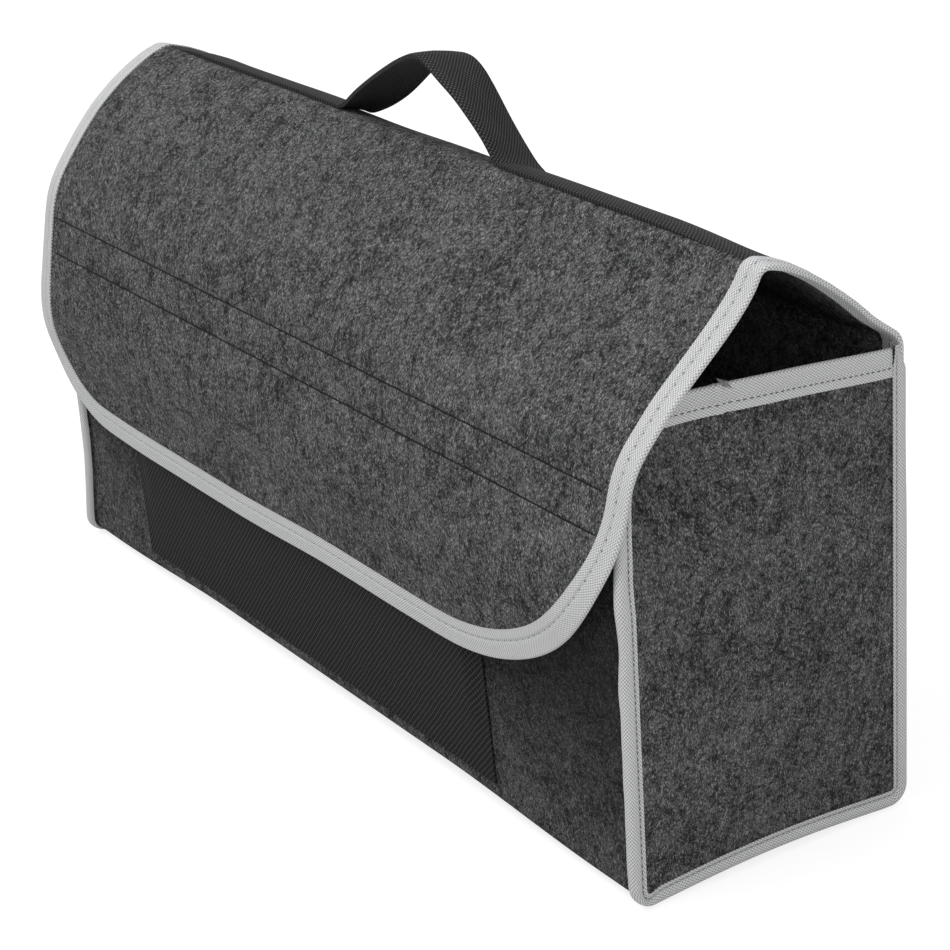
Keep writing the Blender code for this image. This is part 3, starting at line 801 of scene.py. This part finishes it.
FELT_LOOK = felt_material("charcoal_felt", *FELT_TONES)
# The box felt is the same felt with painted shade on its front wall under the flap.
BOX_FELT_PAINTED_SHADE_LOOK = felt_material("charcoal_box_felt_painted_shade", *FELT_TONES, FRONT_PAINTED_SHADE_TONE)
LID_TAPE_LOOK = tape_material("grey_lid_tape", 0.0051, 0.0056, 0.14)
TOP_TAPE_LOOK = tape_material("grey_top_tape", 0.0038, 0.0027, 0.50)
SEAM_TAPE_LOOK = tape_material("grey_seam_tape", 0.0019, 0.0028, 0.55)
WEB_LOOK = webbing_material("black_webbing")
NET_LOOK = net_material("black_net")
HOOK_LOOK = plain_cloth("black_hook_tape", (0.006, 0.006, 0.006), (0.024, 0.024, 0.025), 0.55)
THREAD_LOOK = plain_cloth("dark_thread", BLACK, (0.009, 0.009, 0.009), 0.7)


def make_lid_felt():
    """The lid's felt, thinner towards its bound edge and grooved by the stitch rows."""
    rows, uvs, fullness = [], [], []
    for along in [-HINGE_LAP, -HINGE_LAP / 2] + lid_stations(0.0, LID_FELT_STEP):
        left, left_out, _ = lid_side(along, FLAP_CORNER_LEFT)
        right, right_out, _ = lid_side(along, FLAP_CORNER_RIGHT)
        inner = np.linspace(-left + RIM[-1], right - RIM[-1], LID_COLUMNS)[1:-1]
        xs = np.concatenate([-left + RIM, inner, right - RIM[::-1]])
        depths = [min((x + left) * max(left_out, 0.2), (right - x) * max(right_out, 0.2),
                      LID_END - along) for x in xs]
        rows.append([on_lid(x, along, -grooves(x, along)) for x in xs])
        uvs.append([(x, along) for x in xs])
        fullness.append([pinch(depth) for depth in depths])
    piece = sheet_piece("felt_lid", rows, uvs, FELT, FELT_LOOK, fullness=fullness)
    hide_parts("lid_felt")
    return piece


def edge_section(outer_leg, inner_leg, stitch):
    """A tape folded over a pinched felt edge, as (distance in from the edge, off)."""
    def off(depth):
        dip = STITCH_DIP * max(0.0, 1 - abs(depth + THIN_REACH - stitch) / STITCH_DIP_HALF)
        return FELT / 2 * pinch(depth) + THIN_GAP + THIN_TAPE / 2 - dip
    round_off = off(0.0)
    bend = [(-round_off * math.cos(turn), round_off * math.sin(turn)) for turn in FOLD_TURNS]
    dips = stitch - THIN_REACH + np.array([-STITCH_DIP_HALF, 0.0, STITCH_DIP_HALF])
    steps = np.concatenate([np.linspace(0.0, outer_leg, 9)[1:], dips])
    outer = [(depth, off(depth)) for depth in sorted(steps, reverse=True)]
    inner = [(depth, -off(depth)) for depth in np.linspace(0.0, inner_leg, 8)[1:]]
    return outer + bend + inner


def lid_edge():
    """The lid's bound edge as (x, along, outward x, outward along), from hinge to hinge."""
    sides = []
    for sign, corner in ((-1, FLAP_CORNER_LEFT), (1, FLAP_CORNER_RIGHT)):
        side = []
        for along in lid_stations(LID_TAPE_START, LID_TAPE_STEP):
            half, out_x, out_along = lid_side(along, corner)
            side.append((sign * half, along, sign * out_x, out_along))
        sides.append(side)
    left, right = sides
    hem_xs = np.linspace(left[-1][0], right[-1][0], HEM_COLUMNS)[1:-1]
    return left + [(x, LID_END, 0.0, 1.0) for x in hem_xs] + right[::-1]


def make_lid_binding():
    """The tape round the lid's edge; its face is narrower up the sides than round the hem."""
    edge = lid_edge()
    rows, uvs = [], []
    for (x, along, out_x, out_along), run in zip(edge, run_lengths([spot[:2] for spot in edge])):
        narrower = LID_TAPE_NARROWER * (1 - ramp(along - LID_END, *LID_TAPE_NARROWS))
        section = edge_section(LID_TAPE_FACE - THIN_REACH - narrower,
                               LID_TAPE_INNER_FACE - THIN_REACH - narrower,
                               LID_STITCH_DEPTH - narrower)
        rows.append([on_lid(x - out_x * depth, along - out_along * depth, off)
                     for depth, off in section])
        uvs.append([(run, place) for place in run_lengths(section)])
    return tape_piece("lid_tape", rows, uvs, LID_TAPE_LOOK, "lid_binding")


def make_box_felt():
    """The front, the base and the back in one sheet, with a flange along each side seam."""
    end = [(FLANGE_MID_X - inward, off) for inward, off, _ in FLANGE_SECTION]
    end_shares = [share for _, _, share in FLANGE_SECTION]
    middle = end[-1][0]
    inner = [(x, 0.0) for x in np.linspace(-middle, middle, BOX_COLUMNS)[1:-1]]
    section = [(-x, off) for x, off in end] + inner + end[::-1]
    shares = end_shares + [1.0] * len(inner) + end_shares[::-1]
    rows, uvs = [], []
    for along in WALL.stations(0.0, WALL.length - HINGE_LAP, BOX_STEP):
        rows.append([on_wall(x, along, off) for x, off in section])
        uvs.append([(x + math.copysign(off, x), along + BOX_CLOTH_SHIFT) for x, off in section])
    # The box felt's material carries painted shade on the front wall under the flap.
    piece = sheet_piece("felt_box", rows, uvs, FELT, BOX_FELT_PAINTED_SHADE_LOOK,
                        fullness=[shares] * len(rows))
    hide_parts("body_felt")
    return piece


def make_side_panel(side, name):
    """A side panel in rows from the base to the top edge, each from front seam to rear."""
    end = WALL.length - SIDE_REAR_DROP
    front_low, rear_low = WALL.arcs[2][1], WALL.arcs[3][0]
    front, rear = (np.array([WALL.at(along, FLANGE_TIP) for along in stations])
                   for stations in (WALL.stations(0.0, front_low, PANEL_STEP)[::-1],
                                    WALL.stations(rear_low, end, PANEL_STEP)))
    parts = np.concatenate([PANEL_RIM, np.linspace(0.06, 0.94, 30)[1:-1], 1 - PANEL_RIM[::-1]])
    shares = np.concatenate([np.linspace(0, 0.04, 9)[:-1], np.linspace(0.04, 0.96, 42)[:-1],
                             np.linspace(0.96, 1, 6)])
    rows, uvs, fullness = [], [], []
    for share in shares:
        ends = []
        for line in (front, rear):
            z = line[0, 1] + share * (line[-1, 1] - line[0, 1])
            ends.append(np.array([np.interp(z, line[:, 1], line[:, 0]), z]))
        row, uv, full = [], [], []
        for part in parts:
            y, z = ends[0] * (1 - part) + ends[1] * part
            from_seam = min(part, 1 - part)
            depth = min(from_seam * (ends[1][0] - ends[0][0]), z - front[0, 1])
            rimmed = 1 - ramp(depth, *PANEL_RIM_REACH)
            wave = ripple(y, z, SIDE_SEED + side) * ramp(from_seam, 0.0, 0.2)
            row.append(on_side(side, y, z, PANEL_X + wave + PANEL_RIM_OUT * rimmed))
            uv.append((y + SIDE_CLOTH_SHIFT * side, z))
            full.append(min(1 - PANEL_RIM_THINNER * rimmed, pinch((1 - share) * PANEL_HEIGHT)))
        rows.append(row)
        uvs.append(uv)
        fullness.append(full)
    piece = sheet_piece(f"felt_side_{name}", rows, uvs, FELT, FELT_LOOK,
                        fullness=fullness)
    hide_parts(f"side_panel_{name}")
    return piece


def make_seam_tape(side, name):
    """The tape round a side seam, a little lumpy and pressed flat at the hinge."""
    rows, uvs = [], []
    for along in WALL.stations(0.0, WALL.length + SEAM_OVERRUN, SEAM_STEP):
        row = []
        lump = noise.noise(Vector((along / SEAM_PUFF_LENGTH, side * SEAM_SEED, 1.0)))
        puff = SEAM_PUFF * (lump - SEAM_PUFF_MIDDLE)
        closing = 1 - SEAM_CLOSING * ramp(along - WALL.length, *SEAM_CLOSING_PLACE)
        for x, off in SEAM_SECTION:
            spot = on_wall(side * x, along, off * closing + puff * ramp(off, *SEAM_PUFF_OFF))
            low = 1 - ramp(spot.z, *SEAM_ROUND_HEIGHT)
            round_out = SEAM_ROUND_OUT * ramp(off, *SEAM_ROUND_OFF) * low
            spot.x += side * (round_out - puff * ramp(off, *SEAM_PUFF_OUT))
            row.append(spot)
        rows.append(row)
        uvs.append([(along, place) for place in run_lengths(SEAM_SECTION)])
    return tape_piece(f"seam_tape_{name}", rows, uvs, SEAM_TAPE_LOOK, f"side_binding_{name}")


def make_top_tape(side, name):
    """Tape over a side panel's top edge, bowed in with the panel."""
    front = WALL.at(0.0, SEAM_TIP)
    rear = WALL.at(WALL.length - SIDE_REAR_DROP, SEAM_TIP)
    along = (rear - front) / np.linalg.norm(rear - front)
    inward = np.array([along[1], -along[0]])
    limit = WALL.at(0.0, SEAM_TIP + TAPE_REACH - SEAM_TAPE_FACE - GAP)
    first = (limit - front) @ along + GAP - TOP_TAPE_FORWARD
    last = np.linalg.norm(rear - front) - (SEAM_TAPE_FACE - TAPE_REACH - TOP_TAPE_SHORTER)
    leg = TOP_TAPE_FACE - THIN_REACH
    section = edge_section(leg, leg, TOP_STITCH_DEPTH)
    rows, uvs = [], []
    for distance in np.linspace(first, last, TAPE_ROWS):
        row = []
        for depth, off in section:
            sunk = depth - EDGE_GROWTH * TOP_TAPE_SINK
            y, z = front + along * distance + inward * sunk
            fold = pucker(y) * (1 if off > 0 else -1)
            row.append(on_side(side, y, z, PANEL_X + off + fold))
        rows.append(row)
        uvs.append([(distance, place) for place in run_lengths(section)])
    return tape_piece(f"top_tape_{name}", rows, uvs, TOP_TAPE_LOOK, f"side_top_binding_{name}")


def make_front_top_tape():
    """Tape over the front wall's top edge, which only shows with the lid open."""
    half = FLANGE_X - SEAM_BEND - FELT / 2 - TAPE_REACH
    leg = TOP_TAPE_FACE - EDGE_REACH
    reach = FELT / 2 + GAP + TAPE / 2
    shares = (0.25, 0.5, 0.75, 1.0)
    section = [(leg * share, reach) for share in reversed(shares)]
    section += [(-reach * math.cos(turn), reach * math.sin(turn)) for turn in FOLD_TURNS]
    section += [(leg * share, -reach) for share in shares]
    rows, uvs = [], []
    for x in np.linspace(-half, half, TAPE_ROWS):
        rows.append([on_wall(x, depth, off) for depth, off in section])
        uvs.append([(x, 0.001 * number) for number in range(len(section))])
    return tape_piece("front_top_tape", rows, uvs, TOP_TAPE_LOOK, "front_top_binding", TAPE)


def pocket_depth(height):
    """How far the net stands off the front at a height."""
    heights = (POCKET_BOTTOM, POCKET_BOTTOM + POCKET_MARGIN, POCKET_KNEE, POCKET_FULL, POCKET_TOP)
    depths = (GAP, GAP, POCKET_KNEE_DEPTH, POCKET_DEPTH, POCKET_DEPTH)
    return np.interp(height, heights, depths)


def make_pocket():
    """The net, in rows from its top to its sewn bottom edge, over the softened front."""
    rows, uvs = [], []
    top = WALL.at_height(BASE_Z + POCKET_TOP)
    bottom = WALL.at_height(BASE_Z + POCKET_BOTTOM)
    for along in np.linspace(top, bottom, POCKET_ROWS):
        height = WALL.at(along)[1] - BASE_Z
        lean = POCKET_SHEAR * min(1.0, height / SHEAR_HEIGHT) * (1 - ramp(height, *SHEAR_FADE))
        row, uv = [], []
        for x in np.linspace(POCKET_LEFT_X, POCKET_RIGHT_X, POCKET_COLUMNS):
            edge = min(x - POCKET_LEFT_X, POCKET_RIGHT_X - x) - POCKET_MARGIN / 2
            stand = GAP + (pocket_depth(height) - GAP) * ramp(edge, 0.0, POCKET_SEWN)
            row.append(on_wall(x - lean, along, FELT / 2 + stand + NET / 2))
            uv.append((x, along))
        rows.append(row)
        uvs.append(uv)
    piece = sheet_piece("net_pocket", rows, uvs, NET, NET_LOOK)
    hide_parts("mesh_pocket")
    return piece


def eased(knots, count=150):
    """A smooth curve through knots that are an even step apart in count places, in metres."""
    places = np.linspace(0, len(knots) - 1, count)
    columns = [np.interp(places, range(len(knots)), column) for column in np.array(knots).T]
    weights = np.hanning(17)[1:-1] / np.hanning(17)[1:-1].sum()
    padded = [np.pad(column, 7, mode="reflect", reflect_type="odd") for column in columns]
    return np.column_stack([np.convolve(column, weights, "valid") for column in padded]) / 1000


def handle_run():
    """The webbing's edges as (front x, front rise, rear x, rear rise), from end to end."""
    end = LID_HALF_WIDTH - (LID_TAPE_FACE - EDGE_REACH) + WEBBING_END_LAP
    arch = np.hstack([eased(HANDLE_FRONT), eased(HANDLE_REAR)])
    left, right = [], []
    for share in SEWN_SHARES:
        left.append([-end + share * (arch[0][0] + end), 0.0,
                     -end + share * (arch[0][2] + end), 0.0])
        right.append([end - share * (end - arch[-1][0]), 0.0,
                      end - share * (end - arch[-1][2]), 0.0])
    return np.vstack([left, arch, right[::-1]])


def make_webbing():
    """The webbing, lapped over the ridge, and the handle that rises straight up from it."""
    front = RIDGE_START + WEBBING_LAP
    off = FELT / 2 + GAP + WEBBING / 2
    rows = []
    for front_x, front_rise, rear_x, rear_rise in handle_run():
        row = []
        for share in WEBBING_SHARES:
            x = front_x + share * (rear_x - front_x)
            rise = max(0.0, front_rise + share * (rear_rise - front_rise))
            sunk = ramp(x, *WEBBING_SINKS_RIGHT) if x > 0 else ramp(-x, *WEBBING_SINKS_LEFT)
            place = on_lid(x, front - share * WEBBING_WIDTH, off * (1 - sunk) + WEBBING_SUNK * sunk)
            crease = HANDLE_CREASE * math.exp(-((share - CREASE_MIDDLE) / CREASE_SPREAD) ** 2)
            crease *= ramp(x, *CREASE_START) * ramp(rise, 0.0, CREASE_RISE)
            row.append(place + Vector((0.0, 0.0, rise - crease)))
        rows.append(row)
    runs = run_lengths([row[len(row) // 2] for row in rows])
    uvs = [[(run, share * WEBBING_WIDTH) for share in WEBBING_SHARES] for run in runs]
    piece = sheet_piece("webbing_handle", rows, uvs, WEBBING, WEB_LOOK, 50)
    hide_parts("ridge_webbing")
    return piece


def make_flap_stitches():
    """Dark thread in the flap's two grooves, one short stitch after another."""
    form = bmesh.new()
    for line in STITCH_LINES:
        for x in np.arange(-FLAP_STITCH_HALF, FLAP_STITCH_HALF, STITCH_PITCH):
            made = bmesh.ops.create_cube(form, size=1.0)["verts"]
            bmesh.ops.scale(form, vec=FLAP_STITCH, verts=made)
            bmesh.ops.translate(form, vec=on_lid(x, line, FELT / 2 - STITCH_SINK), verts=made)
    mesh = bpy.data.meshes.new("flap_stitches")
    form.to_mesh(mesh)
    form.free()
    mesh.materials.append(THREAD_LOOK)
    obj = add_object("flap_stitches", mesh)
    return obj


def hinge_blend(piece):
    """Bakes the piece's placement into its mesh."""
    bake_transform(piece)


def make_pieces():
    for maker in (make_lid_felt, make_lid_binding):
        hinge_blend(maker())
    for maker in (make_webbing, make_flap_stitches):
        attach(maker(), "lid")
    for maker in (make_box_felt, make_front_top_tape, make_pocket):
        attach(maker(), "bag")
    for side, name in ((-1, "left"), (1, "right")):
        for maker in (make_side_panel, make_seam_tape, make_top_tape):
            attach(maker(side, name), "bag")


def dress_cad_nodes():
    """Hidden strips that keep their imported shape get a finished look."""
    for name in ("lid_hook_strip", "base_hook_strip_front", "base_hook_strip_rear",
                 "pocket_hem"):
        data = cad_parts[name].data
        data.materials.clear()
        data.materials.append(HOOK_LOOK)


def make_camera():
    data = bpy.data.cameras.new("photo_camera")
    data.lens = CAMERA_LENS
    data.sensor_width = CAMERA_SENSOR
    camera = add_object("photo_camera", data)
    right, up, ahead = Vector(CAMERA_RIGHT), Vector(CAMERA_UP), Vector(CAMERA_AHEAD)
    turn = Matrix((right, up, -ahead)).transposed().to_4x4()
    camera.matrix_world = Matrix.Translation(CAMERA_PLACE) @ turn
    bpy.context.scene.camera = camera


def by_ray(tree, lighting, seen, target):
    """One shader lights the bag and another one is seen by the camera."""
    ray = tree.nodes.new("ShaderNodeLightPath")
    chosen = tree.nodes.new("ShaderNodeMixShader")
    tree.links.new(ray.outputs["Is Camera Ray"], chosen.inputs[0])
    tree.links.new(lighting, chosen.inputs[1])
    tree.links.new(seen, chosen.inputs[2])
    tree.links.new(chosen.outputs[0], target)


def grey_diffuse(tree, tone):
    node = tree.nodes.new("ShaderNodeBsdfDiffuse")
    node.inputs["Color"].default_value = (tone, tone, tone, 1)
    return node.outputs[0]


def make_floor():
    """A plain floor that looks almost white and keeps the bag's shadow."""
    bpy.ops.mesh.primitive_plane_add(size=FLOOR_SIZE, location=(0, 0, FLOOR_Z))
    floor = bpy.context.object
    floor.name = "studio_floor"
    material = bpy.data.materials.new("pale_floor")
    material.use_nodes = True
    tree = material.node_tree
    tree.nodes.clear()
    output = tree.nodes.new("ShaderNodeOutputMaterial")
    glow = tree.nodes.new("ShaderNodeEmission")
    glow.inputs["Strength"].default_value = FLOOR_GLOW
    both = tree.nodes.new("ShaderNodeAddShader")
    tree.links.new(grey_diffuse(tree, FLOOR_SEEN), both.inputs[0])
    tree.links.new(glow.outputs[0], both.inputs[1])
    by_ray(tree, grey_diffuse(tree, FLOOR_BOUNCE), both.outputs[0], output.inputs["Surface"])
    floor.data.materials.append(material)


def make_lights():
    """Three soft area lights and a pale world that the camera sees as white."""
    for name, place, size, power in LIGHTS:
        data = bpy.data.lights.new(name, "AREA")
        data.shape = "RECTANGLE"
        data.size, data.size_y = size
        data.energy = power
        light = add_object(name, data)
        light.location = place
        aim = Vector(LIGHT_TARGET) - Vector(place)
        light.rotation_euler = aim.to_track_quat("-Z", "Y").to_euler()
    world = bpy.data.worlds.new("studio_world")
    bpy.context.scene.world = world
    world.use_nodes = True
    tree = world.node_tree
    shade = tree.nodes["Background"]
    shade.inputs["Color"].default_value = (1, 1, 1, 1)
    shade.inputs["Strength"].default_value = WORLD_LIGHT
    bright = tree.nodes.new("ShaderNodeBackground")
    bright.inputs["Strength"].default_value = 1.0
    by_ray(tree, shade.outputs[0], bright.outputs[0], tree.nodes["World Output"].inputs["Surface"])


make_camera()
make_floor()
make_lights()
make_pieces()
dress_cad_nodes()
bpy.context.scene.view_settings.view_transform = "Standard"
